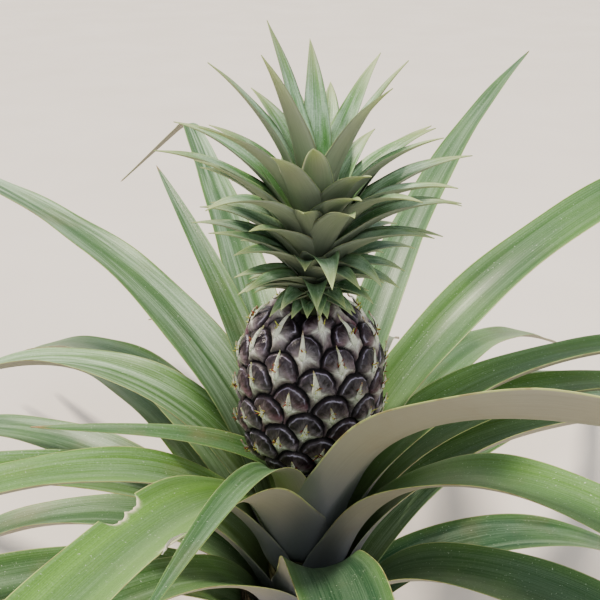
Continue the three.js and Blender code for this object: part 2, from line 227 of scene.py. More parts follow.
def loft(rings, around, share, seed, tip=None):
    """Faces between rings of points, each ring joined to the next. The first ring is closed by one
    flat face, and the last by another or by triangles to a point. Each corner keeps its place
    around the section, 0 to 2, its share of the length and a seed as its grain."""
    count, sides = rings.shape[:2]
    points = rings.reshape(-1, 3)
    index = np.arange(count * sides).reshape(count, sides)
    beside = np.roll(index, -1, axis=1)
    quads = np.stack([index[:-1], beside[:-1], beside[1:], index[1:]], -1).reshape(-1, 4)
    near, far = around, np.append(around[:, 1:], np.full((count, 1), 2.0), axis=1)
    across = np.stack([near[:-1], far[:-1], far[1:], near[1:]], -1).ravel()
    level = np.broadcast_to(share[:, None], (count, sides))
    ahead = np.stack([level[:-1], level[:-1], level[1:], level[1:]], -1).ravel()
    faces = quads.tolist() + [index[0][::-1].tolist()]
    across = np.append(across, near[0][::-1])
    ahead = np.append(ahead, level[0][::-1])
    if tip is None:
        faces.append(index[-1].tolist())
        across = np.append(across, near[-1])
        ahead = np.append(ahead, level[-1])
    else:
        points = np.vstack([points, tip])
        faces += np.stack([index[-1], beside[-1], np.full(sides, count * sides)], -1).tolist()
        across = np.append(across, np.stack([near[-1], far[-1], near[-1]], -1).ravel())
        ahead = np.append(ahead, np.tile([share[-1], share[-1], 1.0], sides))
    grain = np.stack([across, ahead, np.full(len(across), seed)], -1)
    return points, faces, grain


def stem_radius(height):
    """Straight taper from the flare up to the shoulder, and below it a flare that widens with the
    square of the depth."""
    share = np.clip((height - flare_height) / (shoulder - flare_height), 0, 1)
    flare = (foot_radius - lower_radius) * np.clip(1 - height / flare_height, 0, 1) ** 2
    return lower_radius + (upper_radius - lower_radius) * share + flare


def wobble(place, seed, waves=5):
    """A smooth irregular curve within about -1 to 1: a sum of sines with random pace and phase."""
    draw = np.random.default_rng(seed)
    total = np.zeros(np.shape(place))
    for wave in range(1, waves + 1):
        pace, phase = wave + draw.uniform(-0.4, 0.4), draw.uniform(0, 2 * np.pi)
        total = total + np.sin(place * pace * 2 * np.pi + phase) / wave ** 0.7
    return total / 1.9


def ringed_column(heights, radius, sides, scar, seed):
    """Rings of the given radius, cut by a spiral of scars: a groove where the height, less one
    step for each turn, passes a whole number of steps."""
    turn = np.linspace(0, 2 * np.pi, sides, endpoint=False)
    level, angle = np.meshgrid(heights, turn, indexing="ij")
    pitch = (level / scar_step + angle / (2 * np.pi)) % 1
    groove = scar * np.exp(-((pitch - 0.5) / scar_width) ** 2)
    uneven = 0.5 * np.sin(3 * angle + level / 17 + seed) + 0.4 * np.sin(7 * angle - level / 9)
    radii = radius[:, None] - groove + uneven * scar / 1.1
    rings = np.stack([radii * np.cos(angle), radii * np.sin(angle), level], -1)
    return loft(rings, angle / np.pi, heights / heights[-1], seed)


def line_group():
    """Group: fine lines that run lengthwise, as the fibres of a leaf do. Noise is read at a place
    that changes fast across the leaf and slowly along it."""
    group = bpy.data.node_groups.new("fibre_lines", "ShaderNodeTree")
    for name in ("Across", "Along", "Seed", "Count", "Stretch"):
        group.interface.new_socket(name, in_out="INPUT", socket_type="NodeSocketFloat")
    group.interface.new_socket("Lines", in_out="OUTPUT", socket_type="NodeSocketFloat")
    given = group.nodes.new("NodeGroupInput").outputs
    x = times(group, given["Across"], given["Count"])
    y = times(group, given["Along"], given["Stretch"])
    lines = noise(group, combine(group, x, y, given["Seed"]), 1.0, 3.0, 0.6)
    out = group.nodes.new("NodeGroupOutput")
    group.links.new(spread(group, lines, 0.3, 0.7), out.inputs["Lines"])
    return group


fibre_lines = line_group()


def lines_of(tree, grain, count, stretch):
    """The mask of fine lines at the grain of a piece: its across, along and seed."""
    values = dict(zip(("Across", "Along", "Seed"), grain), Count=count, Stretch=stretch)
    return put(tree, "Group", values, node_tree=fibre_lines).outputs["Lines"]


bark, tree, shader = finish_material("stem_bark", roughness=0.88, specular=0.25)
place = place_of(tree)
patches = spread(tree, noise(tree, place, 45, 4, 0.6), 0.35, 0.65)
colour = blend(tree, patches, "#4c4a34", "#74745a")
height = put(tree, "SeparateXYZ", {0: place}).outputs["Z"]
turned = times(tree, three_of(tree, "grain")[0], 0.5)
pitch = plus(tree, maths(tree, "DIVIDE", height, scar_step * 0.001), turned)
scar = maths(tree, "ABSOLUTE", minus(tree, maths(tree, "FRACT", pitch), 0.5))
colour = blend(tree, spread(tree, scar, 0.02, 0.2, 1.0, 0.0), colour, "#2d2a1d")
tree.links.new(colour, shader.inputs["Base Color"])
link_bump(tree, shader, noise(tree, place, 260, 3, 0.7), 0.0012, 0.7)

heights = np.linspace(0, shoulder, stem_rings)
column = ringed_column(heights, stem_radius(heights), stem_sides, scar_depth, 1)
column[0][-stem_sides:] *= [cut_share, cut_share, 1]
piece("ringed_stem", column, bark, replaces=["stem"])

# Stem top
# The stem draws in to a low round shoulder of the same woody tissue, from which the fruit's
# stalk rises.
top_middle, top_swell, top_roundness, top_scar = 17, 12.4, 4, 0.2
top_heights = np.linspace(shoulder - 1, stem_top, 8)
top_drawn = np.clip(1 - ((top_heights - shoulder + 1) / top_roundness) ** 2, 0, 1)
cap = ringed_column(top_heights, top_middle + top_swell * np.sqrt(top_drawn), stem_sides, top_scar, 2)
piece("stem_shoulder", cap, bark)

# Dry sheaths
# The lowest leaves have died back to papery brown stubs, which still wrap the foot of the stem
# and stand off it where they have curled as they dried.
sheath_count, sheath_seed = 11, 5
sheath_first_turn, sheath_seat, sheath_step = 40, 6, 6.0
sheath_shortest, sheath_longest, sheath_half_angle = 52, 92, 0.85
sheath_stand, sheath_flare, sheath_curl, sheath_pucker = 1.6, 0.26, 2.6, 0.7
sheath_half_thickness, sheath_rings, sheath_sides = 0.45, 22, 31
golden_turn = 137.508


def dry_sheath(turn, seat, long, draw):
    """A curved sheet round the stem. It stands off the stem by a power of the height above its
    seat, its top edge is ragged by two sines, and its margins curl away by the fourth power of
    the place across."""
    v, u = np.meshgrid(np.linspace(0, 1, sheath_rings), np.linspace(-1, 1, sheath_sides),
                       indexing="ij")
    phase = draw.uniform(0, 6)
    top = long * (1 - 0.45 * u ** 2 + 0.16 * np.sin(9 * u + phase) + 0.07 * np.sin(23 * u + phase))
    height = seat + v * top
    angle = turn + u * sheath_half_angle * (1 - 0.35 * v ** 2)
    stand = sheath_stand + long * sheath_flare * v ** 2.2 + sheath_curl * u ** 4
    radius = stem_radius(height) + (stand + sheath_pucker * np.sin(11 * u + 5 * v + phase))
    outer, inner = (np.stack([r * np.cos(angle), r * np.sin(angle), height], -1)
                    for r in (radius + sheath_half_thickness, radius - sheath_half_thickness))
    rings = np.concatenate([outer, inner[:, ::-1]], axis=1)
    spot = np.concatenate([(u + 1) / 2, 1 + (1 - u[:, ::-1]) / 2], axis=1)
    return loft(rings, np.clip(spot, 0, 1.999), v[:, 0], draw.uniform(0, 50))


papery, tree, shader = finish_material("dry_sheath", roughness=0.8, specular=0.3)
lines = lines_of(tree, three_of(tree, "grain"), 46, 2.0)
colour = blend(tree, lines, "#5b4a38", "#a39478")
worn = spread(tree, noise(tree, place_of(tree), 30, 3, 0.6), 0.45, 0.7)
colour = blend(tree, worn, colour, "#7d7a6c")
tree.links.new(colour, shader.inputs["Base Color"])
link_bump(tree, shader, lines, 0.0006, 0.8)

draw = np.random.default_rng(sheath_seed)
sheaths = []
for number in range(sheath_count):
    turn = math.radians(sheath_first_turn + number * golden_turn)
    long = draw.uniform(sheath_shortest, sheath_longest)
    sheaths.append(dry_sheath(turn, sheath_seat + number * sheath_step, long, draw))
piece("dry_sheaths", join(sheaths), papery)

# Rosette leaves
# Long, stiff, fleshy straps that spring from the stem in a spiral, clasp it at the root and arch
# over. Each is a gutter, green and waxy above, grey with scales below, with thin pale margins.
clearance = 0.3
root_thickness = 0.0106
line_steps = 80
crease_length = 0.05
gutter_blade, gutter_tip = 34, 24
waist_depth, waist_reach = 0.16, 0.06
belly_rise, belly_end = 0.08, 0.6
taper_late, taper_blunt = 2.2, 0.85
twist_end, twist_ease, wander = 0.4, 1.5, math.radians(2.5)
clasp_flare, clasp_flare_reach, clasp_reach, clasp_most = 0.55, 0.075, 0.12, 1.65
crease_depth, crease_softness = 0.09, 0.004
wave_height, wave_length, ridge_height, ridge_pace = 0.055, 26, 0.10, 34
thick_share, thick_taper, thick_least = 0.0042, 0.66, 0.5
sunk_reach, sunk_depth = 0.03, 7
strap_rings, fold_rings, bite_rings, tip_rings = 104, 26, (0.345, 0.455, 60), [0.985, 0.993]
strap_half_sides, ring_shift = 11, 0.02
lean = math.radians(1.4)
stalk_foot, stalk_swell, stalk_bottom, stalk_top = 13, 6, 243.9, 290

# The lobes of a bite, each by its place past the bite's middle, its reach and its depth, and the
# slit at the other margin. Places and reaches are shares of the length, depths of half the width
bite_lobes, bite_ragged = ((-0.009, 0.016, 0.22), (0.012, 0.014, 0.3)), 0.12
slit_place, slit_reach, slit_depth, slit_ragged = 0.045, 0.016, 0.16, 0.1

# side: bearing from above; seat: height on the stem; rise: slope there; droop: turn from there to
# the tip; bend: how early it comes; sway: turn sideways; roll: twist; bite: its place; fold: place,
# drop and turn of a crease. green is how fresh the leaf looks, set lower as painted shade on the
# leaves that lie in shade; bloom is how waxy it looks, set higher as a painted sheen on the sunlit
# leaves at the left; dry is how withered it looks
rosette = {
    "left_short": dict(side=185, seat=260, rise=65, droop=62, bend=3.2, long=236, wide=28, sway=-3,
                       green_and_shade=0.35, bloom_and_sheen=0.15, dry=0.55),
    "front_short": dict(side=257, seat=239, rise=80, droop=74, bend=1.6, long=370, wide=30,
                        sway=-3, green_and_shade=0.15, bloom_and_sheen=0.25),
    "back_left_short": dict(side=120, seat=238, rise=67, droop=47, bend=2.1, long=392, wide=34,
                            sway=-3, green_and_shade=0.3, bloom_and_sheen=0.6),
    "right_high": dict(side=28, seat=233, rise=70, droop=70, bend=2.5, long=890, wide=58,
                       green_and_shade=0.25, bloom_and_sheen=0.15),
    "right_front": dict(side=-66, seat=228, rise=76.5, droop=99, bend=1.45, long=893, wide=56,
                        sway=30, roll=34, green_and_shade=0.3, bloom_and_sheen=0.3),
    "left_high": dict(side=136, seat=216, rise=75, droop=75, bend=3.8, long=805, wide=59, sway=-1,
                      roll=-9, green_and_shade=0.3, bloom_and_sheen=0.9),
    "back_right": dict(side=66, seat=212, rise=56, droop=43, bend=1.8, long=700, wide=50, sway=-9,
                       roll=10, green_and_shade=0.2, bloom_and_sheen=0.35),
    "front_left": dict(side=247, seat=203, rise=79, droop=90, bend=2.2, long=738, wide=67, sway=2,
                       roll=-8, bite=0.38, green_and_shade=0.85, bloom_and_sheen=0.12),
    "right_mid_c": dict(side=15, seat=200, rise=81, droop=95, bend=2.9, long=690, wide=55,
                        sway=-10, roll=18, green_and_shade=0.5, bloom_and_sheen=0.2),
    "left_mid": dict(side=152, seat=196, rise=79, droop=121, bend=2.6, long=720, wide=57, sway=18,
                     roll=-12, green_and_shade=0.5, bloom_and_sheen=0.9),
    "back_left": dict(side=106, seat=184, rise=72, droop=64, bend=3.6, long=777, wide=54, roll=-6,
                      fold=dict(at=0.79, drop=49, turn=63), green_and_shade=0.3, bloom_and_sheen=0.8),
    "right_low_a": dict(side=-41, seat=182.5, rise=80, droop=101.6, bend=1.4, long=613, wide=58,
                        sway=-29, green_and_shade=0.6, bloom_and_sheen=0.1),
    "left_low_b": dict(side=204, seat=182, rise=83.5, droop=114, bend=2.15, long=650, wide=54,
                       sway=5, roll=-9, green_and_shade=0.8, bloom_and_sheen=0.4),
    "right_mid_b": dict(side=14, seat=178, rise=81, droop=106, bend=2.4, long=645, wide=56,
                        sway=-13, roll=8, green_and_shade=0.5, bloom_and_sheen=0.2),
    "rear_high": dict(side=86, seat=158, rise=68, droop=84, bend=2.6, long=750, wide=57),
    "right_mid_a": dict(side=7, seat=156, rise=81, droop=96, bend=2.8, long=690, wide=56, sway=-13,
                        roll=22, green_and_shade=0.5, bloom_and_sheen=0.25),
    "left_low_a": dict(side=189.5, seat=147, rise=77, droop=108, bend=1.9, long=690, wide=56,
                       sway=22, roll=-4, green_and_shade=0.6, bloom_and_sheen=0.5),
    "rear_left": dict(side=132.5, seat=145.5, rise=60, droop=92, bend=2.6, long=760, wide=56),
    "front_down": dict(side=-84, seat=145, rise=75, droop=76.6, bend=1.8, long=674, wide=64,
                       sway=-3, green_and_shade=0.0, bloom_and_sheen=0.08),
    "rear_right": dict(side=54, seat=138, rise=58, droop=88, bend=2.6, long=760, wide=56),
    "rear_mid": dict(side=112, seat=126, rise=58, droop=86, bend=2.6, long=740, wide=56),
    "left_low_d": dict(side=233, seat=125, rise=75, droop=85, bend=2.2, long=690, wide=58, sway=-2,
                       roll=-5, green_and_shade=0.3, bloom_and_sheen=0.2),
    "left_low_c": dict(side=176, seat=122, rise=72.5, droop=114, bend=2.6, long=600, wide=60,
                       sway=16, roll=-16, green_and_shade=0.2, bloom_and_sheen=0.3, dry=0.3),
    "rear_side": dict(side=34, seat=114, rise=58, droop=88, bend=2.6, long=750, wide=56),
    "right_low_b": dict(side=-42, seat=110, rise=78, droop=93.2, bend=1.9, long=670, wide=58,
                        sway=-16, green_and_shade=0.1, bloom_and_sheen=0.1),
    "left_back_low": dict(side=152, seat=104, rise=56, droop=84, bend=2.6, long=730, wide=57),
    "rear_mid_right": dict(side=76, seat=100, rise=54, droop=84, bend=2.6, long=740, wide=56),
    "left_low_e": dict(side=198, seat=98, rise=66, droop=86, bend=2.6, long=686, wide=56, sway=4,
                       green_and_shade=0.2, bloom_and_sheen=0.2, dry=0.6),
    "front_low": dict(side=-92, seat=92, rise=60, droop=84, bend=2.8, long=640, wide=58,
                      green_and_shade=0.15, bloom_and_sheen=0.15),
    "right_low_c": dict(side=8, seat=88, rise=66, droop=106, bend=2, long=440, wide=56, sway=10,
                        green_and_shade=0.0, bloom_and_sheen=0.25, dry=0.3),
    "rear_low": dict(side=128, seat=84, rise=54, droop=78, bend=2.6, long=720, wide=56, dry=0.4),
    "rear_low_right": dict(side=50, seat=78, rise=54, droop=78, bend=2.6, long=700, wide=56,
                           dry=0.4),
}


def leaf_aim(leaf, share):
    """Slope and bearing. The slope falls by droop * (1 - (1 - share) ^ bend), the bearing turns
    evenly, and past a crease both change by the fold, eased over a short length."""
    fold = leaf.get("fold", dict(at=1, drop=0, turn=0))
    part = np.clip((share - fold["at"]) / crease_length, 0, 1)
    folded = part * part * (3 - 2 * part)
    bent = 1 - (1 - np.clip(share, 0, 1)) ** leaf["bend"]
    tilt = leaf["rise"] - leaf["droop"] * bent - fold["drop"] * folded
    side = leaf["side"] + leaf.get("sway", 0) * share + fold["turn"] * folded
    return np.radians(tilt), np.radians(side)


def heading_of(tilt, side):
    """The direction of a slope and a bearing."""
    return np.stack([np.cos(tilt) * np.cos(side), np.cos(tilt) * np.sin(side), np.sin(tilt)], -1)


def carrier_radius(leaf):
    """The stem's radius at the leaf's seat, or the stalk's above the stem."""
    seat = leaf["seat"]
    if seat > stem_top:
        return stalk_foot + stalk_swell * ((seat - stalk_bottom) / (stalk_top - stalk_bottom)) ** 2
    return float(stem_radius(np.array(seat)))


def leaf_places(leaf, share):
    """The middle line: short steps added up, each along the heading at its middle, from a root
    that stands clear of the stem."""
    stand = leaf["long"] * root_thickness * math.sin(math.radians(leaf["rise"])) / 2
    clear = carrier_radius(leaf) + clearance + stand
    side = math.radians(leaf["side"])
    root = np.array([clear * math.cos(side), clear * math.sin(side), leaf["seat"]])
    middles = (np.arange(line_steps) + 0.5) / line_steps
    steps = heading_of(*leaf_aim(leaf, middles)) * leaf["long"] / line_steps
    line = np.vstack([root, root + np.cumsum(steps, axis=0)])
    knots = np.linspace(0, 1, line_steps + 1)
    return np.stack([np.interp(share, knots, line[:, axis]) for axis in range(3)], -1)


def leaf_half_width(leaf, share):
    """Half the width: narrower at the root, widest past a third, then tapering to the point."""
    waist = 1 - waist_depth * np.exp(-((share / waist_reach) ** 2))
    belly = 1 - belly_rise * (1 - np.sin(np.pi * np.minimum(share / belly_end, 1)))
    return leaf["wide"] / 2 * waist * belly * (1 - share ** taper_late) ** taper_blunt


def leaf_stations(leaf):
    """Shares of the length at which the leaf has a ring: even ones, shifted by a sine that brings
    them closer at the root and the tip, and more of them at the damage and at the very tip."""
    even = np.linspace(0, 1, strap_rings)
    places = [even - ring_shift * np.sin(2 * np.pi * even), tip_rings]
    if "bite" in leaf:
        places.append(np.linspace(*bite_rings))
    if "fold" in leaf:
        at = leaf["fold"]["at"]
        places.append(np.linspace(at - 0.01, at + crease_length + 0.01, fold_rings))
    return np.unique(np.round(np.concatenate(places), 4))[:-1]


def bitten(leaf, share):
    """How much of half the width is gone at each margin: at one a ragged double bite, at the other
    a short slit."""
    gone = np.zeros((2, len(share)))
    if "bite" in leaf:
        at = leaf["bite"]
        for past, reach, depth in bite_lobes:
            lobe = np.sqrt(np.clip(1 - ((share - (at + past)) / reach) ** 2, 0, 1))
            gone[0] = np.maximum(gone[0], lobe * depth)
        gone[0] *= 1 + bite_ragged * wobble(share * 40, 3)
        slit = np.clip(1 - np.abs(share - at - slit_place) / slit_reach, 0, 1)
        gone[1] = slit_depth * slit ** 0.5 * (1 + slit_ragged * wobble(share * 40, 4))
    return gone


def there_and_back(upper, sign=1):
    """Values across the upper side of a section, then back below it with the sign."""
    return np.concatenate([upper, sign * upper[-2:0:-1]])


def around_section(v, count):
    """Places round a section, 0 to 2, from places -1 to 1 across it, of which the first count
    lie on its upper side."""
    return np.where(np.arange(v.shape[-1]) < count, (v + 1) / 2, 1 + (1 - v) / 2)


def strap_leaf(leaf, number):
    """The leaf's closed skin. Across it, a gutter: an arc whose half angle is the clasp round the
    stem at the root and opens along the leaf; a soft crease off its middle; thick at the middle and
    thin at the margins. A slow wave runs along the margins."""
    draw = np.random.default_rng(100 + number)
    share = leaf_stations(leaf)
    tilt, side = leaf_aim(leaf, share)
    middle = leaf_places(leaf, share)
    level = np.stack([np.sin(side), -np.cos(side), np.zeros(len(share))], -1)
    upper = np.cross(level, heading_of(tilt, side))
    twist = np.radians(leaf.get("roll", 0)) * np.minimum(share / twist_end, 1) ** twist_ease
    twist = twist + wander * share * wobble(share, 200 + number, 2)
    across = level * np.cos(twist)[:, None] + upper * np.sin(twist)[:, None]
    over = upper * np.cos(twist)[:, None] - level * np.sin(twist)[:, None]
    half = leaf_half_width(leaf, share)
    opened = np.radians(gutter_blade + (gutter_tip - gutter_blade) * share)
    arc = half * opened / np.sin(opened)
    arc = arc * (1 + clasp_flare * np.exp(-((share / clasp_flare_reach) ** 2)))
    clasp = np.minimum(arc / (carrier_radius(leaf) + 3), clasp_most)
    gutter = opened + (clasp - opened) * np.exp(-((share / clasp_reach) ** 2))
    bow = arc / gutter

    # Places across the section, closer at the margins: upper side left to right, then back below
    even = np.linspace(-1, 1, 2 * strap_half_sides + 1)
    top = np.sign(even) * (1 - (1 - np.abs(even)) ** 1.25)
    top = np.insert(top, [1, len(top) - 1], [-0.992, 0.992])
    thickness = np.sqrt(np.clip(1 - np.abs(top) ** 3.2, 0, 1))
    u, skin = there_and_back(top), there_and_back(thickness, -1)
    gone = bitten(leaf, share)
    cut = np.where(u > 0, 1 - gone[0][:, None], 1 - gone[1][:, None])
    v = u * cut
    crease_at = draw.uniform(-0.3, 0.3)
    crease = half[:, None] * crease_depth * (np.sqrt((v - crease_at) ** 2 + crease_softness) - 0.3)
    wave = wave_height * half[:, None] * np.abs(v) ** 3 * np.sin(
        share[:, None] * leaf["long"] / wave_length + 2.2 * np.sign(v) + draw.uniform(0, 6))
    ridges = ridge_height * np.cos(v * ridge_pace + draw.uniform(0, 6)) * (1 - np.abs(v) ** 4)
    thick = (thick_share * leaf["long"] * (1 - thick_taper * share) + thick_least)[:, None]
    angle = gutter[:, None] * v
    lift = bow[:, None] * (1 - np.cos(angle)) + crease + wave + ridges + skin * thick / 2
    rings = (middle[:, None] + across[:, None] * (bow[:, None] * np.sin(angle))[..., None]
             + over[:, None] * lift[..., None])

    # The root goes into the stem
    sunk = np.clip(1 - share / sunk_reach, 0, 1)[:, None, None] ** 2
    root = math.radians(leaf["side"])
    rings = rings - sunk * np.array([math.cos(root), math.sin(root), 0.5]) * sunk_depth
    tip = leaf_places(leaf, np.array([1.0]))[0]
    shape = loft(rings, around_section(v, len(top)), share, draw.uniform(0, 60), tip)
    raw = np.zeros(rings.shape[:2])
    if "bite" in leaf:
        edge = np.clip((np.abs(u) - 0.86) / 0.1, 0, 1)
        raw = np.where(u > 0, np.minimum(gone[0][:, None] * 8, 1), gone[1][:, None] * 6) * edge
    # The look of the leaf: its green, lowered as painted shade where the leaf lies in shade; its
    # bloom, raised as a painted sheen where it is sunlit; and how dry it is
    look = [leaf.get("green_and_shade", draw.uniform(0.15, 0.5)), leaf.get("bloom_and_sheen", draw.uniform(0.2, 0.6)),
            leaf.get("dry", draw.uniform(0.0, 0.25))]
    looks = {"raw_edge": np.append(raw.ravel(), 0.0), "look": np.tile(look, (len(shape[0]), 1))}
    return shape, looks


def leaning(shape):
    """What stands on the stem's top leans to the right about it."""
    points, faces, grain = shape
    x, y, z = points[:, 0], points[:, 1], points[:, 2] - stem_top
    points = np.stack([x * math.cos(lean) + z * math.sin(lean), y,
                       stem_top - x * math.sin(lean) + z * math.cos(lean)], -1)
    return points, faces, grain


fine_lines, soft_bands, wax_streaks, grain_scale, speck_scale = 84, 6, 7.0, 900, 600


def leaf_material(name, coarse, colours, root_reach, tip_from):
    """Leaf skin. Above: two greens mixed by the leaf's own look, partly its own tone and partly
    painted shade on leaves that lie in shade; painted shade down the channel, and lighter towards the
    margins, partly their own yellower tone and partly painted light; darker in soft bands, with faint
    fine lines, wax bloom in streaks, stronger as a painted sheen on the sunlit leaves, and a sprinkle
    of
    pale specks. Below: smooth grey scales, bluish at the root. A thin line of margin, and a tip of
    another colour."""
    material, tree, shader = finish_material(name, specular=0.45)
    across, along, seed = grain = three_of(tree, "grain")
    green_and_shade, bloom_and_sheen, dry = three_of(tree, "look")
    place = place_of(tree)
    below = maths(tree, "GREATER_THAN", across, 1.0)
    # 0 at the middle, 1 at a margin
    sided = minus(tree, times(tree, maths(tree, "FRACT", across), 2.0), 1.0)
    edge = maths(tree, "ABSOLUTE", sided)
    fine = lines_of(tree, grain, fine_lines * coarse, 2.0)
    bands = lines_of(tree, grain, soft_bands * coarse, 0.8)
    blotch = noise(tree, place, 8.0, 3, 0.55)
    near_root = spread(tree, along, 0.0, root_reach, 1.0, 0.0)

    # Dark to light green by the leaf's green value: partly its own tone, partly painted shade
    top = blend(tree, green_and_shade, colours["dark"], colours["light"])
    top = blend(tree, times(tree, bands, 0.3), top, colours["deep"])
    # Painted shade down the channel of the gutter, and lighter towards the margins: partly their own
    # yellower tone, partly painted light
    top = blend(tree, spread(tree, edge, 0.0, 0.55, 0.3, 0.0), top, colours["deep"])
    top = blend(tree, spread(tree, blotch, 0.4, 0.75, 0.0, 0.4), top, colours["fresh"])
    top = blend(tree, spread(tree, edge, 0.6, 0.96, 0.0, 0.35), top, colours["fresh"])
    top = blend(tree, times(tree, fine, 0.14), top, colours["bloom_and_sheen"])
    # Wax bloom in streaks, as strong as the leaf's bloom value: partly the real wax, partly a painted
    # sheen on the sunlit leaves
    drawn_out = combine(tree, times(tree, across, wax_streaks * coarse), times(tree, along, 3.5), seed)
    streaks = plus(tree, noise(tree, drawn_out, 1.0, 4, 0.6), times(tree, fine, 0.12))
    waxed = times(tree, bloom_and_sheen, spread(tree, streaks, 0.42, 0.78))
    top = blend(tree, waxed, top, colours["bloom_and_sheen"])
    grainy = spread(tree, noise(tree, place, grain_scale, 3, 0.7), 0.42, 0.7, 0.0, 0.3)
    top = blend(tree, grainy, top, colours["deep"])
    specks = spread(tree, noise(tree, place, speck_scale, 2, 0.6), 0.665, 0.73, 0.0, 0.55)
    top = blend(tree, specks, top, "#dbe3d2")
    top_root = times(tree, near_root, plus(tree, times(tree, green_and_shade, 0.8), 0.1))
    top = blend(tree, top_root, top, colours["root"])

    under = blend(tree, times(tree, fine, 0.3), colours["under"], colours["under_line"])
    under = blend(tree, spread(tree, blotch, 0.35, 0.7, 0.0, 0.5), under, colours["under_warm"])
    under = blend(tree, near_root, under, colours["under_root"])
    colour = blend(tree, below, top, under)

    uneven = plus(tree, noise(tree, place, 40, 3), times(tree, edge, 0.5))
    reach = plus(tree, plus(tree, along, times(tree, uneven, 0.05)), times(tree, dry, 0.1))
    tip = blend(tree, fine, colours["tip"], colours["tip_line"])
    colour = blend(tree, spread(tree, reach, tip_from, 1.06), colour, tip)
    aged = times(tree, dry, spread(tree, noise(tree, place, 14, 4, 0.6), 0.5, 0.75))
    colour = blend(tree, aged, colour, "#8c7a58")
    margin = spread(tree, plus(tree, edge, times(tree, blotch, 0.01)), 0.97, 0.99)
    margin = times(tree, margin, spread(tree, along, 0.05, root_reach, 0.1, 0.8))
    rusty = spread(tree, noise(tree, place, 60, 2), 0.5, 0.62, 0.0, 0.6)
    rim = blend(tree, rusty, colours["margin"], "#8d6a4c")
    colour = blend(tree, margin, colour, rim)
    colour = blend(tree, one_of(tree, "raw_edge"), colour, "#d8d0b4")
    tree.links.new(colour, shader.inputs["Base Color"])

    dull = plus(tree, times(tree, waxed, 0.2), times(tree, below, 0.22))
    dull = plus(tree, dull, times(tree, aged, 0.25))
    tree.links.new(plus(tree, dull, 0.36), shader.inputs["Roughness"])
    height = plus(tree, times(tree, fine, 0.5), bands)
    link_bump(tree, shader, height, 0.0004, 0.3)
    return material


strap_skin = leaf_material(
    "rosette_leaf", 1.0,
    dict(dark="#2f5538", light="#76a042", deep="#264a2c", fresh="#739c46", bloom_and_sheen="#b5ccb0",
         under="#959183", under_line="#aaa797", under_warm="#a09a86", under_root="#888a96",
         root="#a3b07c", margin="#b9c07e", tip="#6e4a2c", tip_line="#b08c58"),
    0.2, 1.01)
for number, (name, leaf) in enumerate(rosette.items()):
    shape, looks = strap_leaf(leaf, number)
    if leaf["seat"] > stem_top:
        shape = leaning(shape)
    stood_for = [node for node in (f"leaf_{name}", f"leaf_{name}_base", f"leaf_{name}_blade")
                 if node in nodes]
    piece("strap_leaf_" + name, shape, strap_skin, stood_for, looks)

# Torn margin
# Where the bitten leaf is slit at its other margin, a thin strip of its skin hangs loose and has
# dried to a pale curl.
torn_name, torn_from, torn_to, torn_width, torn_thickness = "front_left", 0.405, 0.45, 3.4, 0.6
torn_start, torn_away, torn_low, torn_arch = 0.4, 5.0, 0.8, 2.4


def torn_strip(leaf, number):
    """A narrow strip that starts on the margin and leaves it with the square of its length, its
    width turning over as it goes."""
    shape, _ = strap_leaf(leaf, number)
    share = leaf_stations(leaf)
    rings = shape[0][:-1].reshape(len(share), -1, 3)
    v = np.linspace(0, 1, 18)
    at = torn_from + v * (torn_to - torn_from)
    margin, inner = (np.stack([np.interp(at, share, line[:, axis]) for axis in range(3)], -1)
                     for line in (rings[:, 0], rings[:, 3]))
    outward = (margin - inner) / np.linalg.norm(margin - inner, axis=1)[:, None]
    up = np.array([0.0, 0.0, 1.0])
    away, rise = torn_start + torn_away * v ** 2, torn_low + torn_arch * np.sin(np.pi * v)
    middle = margin + outward * away[:, None] + up * rise[:, None]
    turn = (0.3 + 2.4 * v)[:, None, None]
    flat = outward[:, None] * np.cos(turn) + up * np.sin(turn)
    thick = up * np.cos(turn) - outward[:, None] * np.sin(turn)
    width = torn_width / 2 * (np.sin(np.pi * (0.12 + 0.8 * v)) + 0.25 * wobble(v * 3, 9))
    rings = (middle[:, None] + flat * (width[:, None] * [1, 0, -1, 0])[..., None]
             + thick * (torn_thickness / 2 * np.array([0, 1, 0, -1]))[:, None])
    around = np.broadcast_to(np.array([0, 0.5, 1, 1.5]), (len(v), 4))
    return loft(rings, around, v, 3.0)


torn_skin, tree, shader = finish_material("torn_skin", roughness=0.75, specular=0.3)
lines = lines_of(tree, three_of(tree, "grain"), 12, 3.0)
tree.links.new(blend(tree, lines, "#c9c5ad", "#f1efe2"), shader.inputs["Base Color"])
link_bump(tree, shader, lines, 0.0004, 0.6)
strip = torn_strip(rosette[torn_name], list(rosette).index(torn_name))
piece("torn_margin", strip, torn_skin)

# Stalk
# The fruit stands on a round green stalk, fibrous and ribbed, that grows out of the stem's top
# and swells under the fruit.
stalk_sunk, stalk_sides, stalk_scar = 3, 40, 0.25
stalk_heights = np.linspace(stalk_bottom - stalk_sunk, stalk_top, 40)
stalk_share = np.clip((stalk_heights - stalk_bottom) / (stalk_top - stalk_bottom), 0, 1)
stalk_radius = stalk_foot + stalk_swell * stalk_share ** 2
stalk_skin, tree, shader = finish_material("stalk_skin", roughness=0.5)
lines = lines_of(tree, three_of(tree, "grain"), 40, 1.5)
tree.links.new(blend(tree, lines, "#6c7848", "#a3a878"), shader.inputs["Base Color"])
link_bump(tree, shader, lines, 0.0004, 0.5)
column = ringed_column(stalk_heights, stalk_radius, stalk_sides, stalk_scar, 3)
piece("ribbed_stalk", leaning(column), stalk_skin, replaces=["fruit_stalk"])

